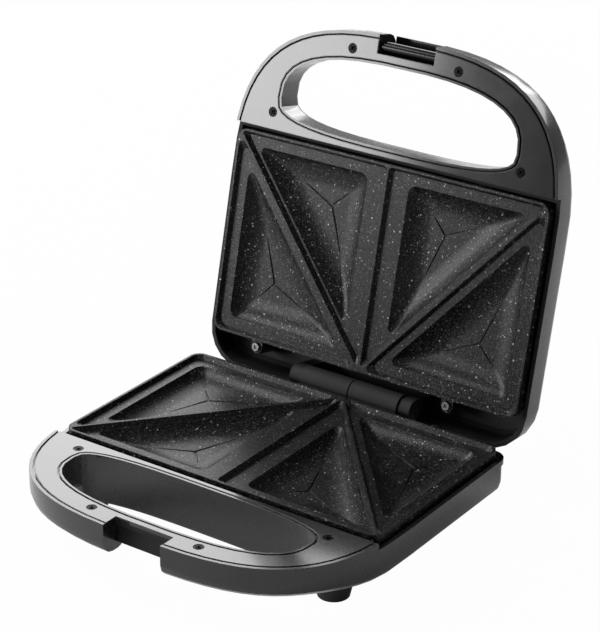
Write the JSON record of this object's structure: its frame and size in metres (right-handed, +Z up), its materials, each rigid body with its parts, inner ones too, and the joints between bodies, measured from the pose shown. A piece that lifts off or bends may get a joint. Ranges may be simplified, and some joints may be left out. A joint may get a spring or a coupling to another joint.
{
  "type": "sandwich toaster",
  "caption": "Open sandwich toaster: hinged lid and base with D-shaped grip handles, divided triangular non-stick plates, folding latch and round feet.",
  "frame": {"origin": "point on the table under the middle of the open toaster's bounding box", "axes": "+X to the right as seen from the handle side, +Y away from the handles towards the hinge, +Z up"},
  "size_m": [0.229, 0.285, 0.2494],
  "materials": {
    "black_gloss": "gloss",
    "handle_panel": "satin gloss",
    "black_satin": "satin",
    "black_screw": "blackened",
    "nonstick": "speckled non-stick coating on cast aluminium",
    "steel": "zinc plated",
    "heater_tube": "dull, heat stained",
    "reflector": "bright sheet",
    "cream_plastic": "matt",
    "rubber": "matt",
    "red_lens": "clear tinted",
    "green_lens": "clear tinted",
    "lamp_glass": "clear"
  },
  "bodies": {
    "base": {"base_shell": "black_gloss", "base_handle_panel": "handle_panel", "base_panel_screws": "black_screw", "lower_plate": "nonstick", "lower_plate_screws": "steel", "lower_heater": "heater_tube", "lower_heater_strap": "steel", "lower_strap_screw": "steel", "lower_reflector": "reflector", "terminal_block": "cream_plastic", "cord_inlet_bush": "rubber", "rubber_feet": "rubber"},
    "lid": {"lid_shell": "black_gloss", "lid_handle_panel": "handle_panel", "lid_panel_screws": "black_screw", "upper_plate": "nonstick", "upper_plate_screws": "steel", "upper_heater": "heater_tube", "upper_heater_strap": "steel", "upper_strap_screw": "steel", "upper_reflector": "reflector", "thermostat": "steel", "thermal_fuse": "steel", "power_lens": "red_lens", "ready_lens": "green_lens", "pilot_lamps": "lamp_glass", "hinge_pins": "steel", "latch_pin": "steel"},
    "latch": {"latch": "black_satin"}
  },
  "joints": [
    {"name": "lid_hinge", "type": "hinge", "parent": "base", "child": "lid", "pos_m": [0, 0.07283, 0.0399], "axis": [1, 0, 0], "range_deg": [0, 102.7]},
    {"name": "latch_pivot", "type": "hinge", "parent": "lid", "child": "latch", "pos_m": [0, 0.12644, 0.24112], "axis": [1, 0, 0], "range_deg": [0, 180]}
  ]
}
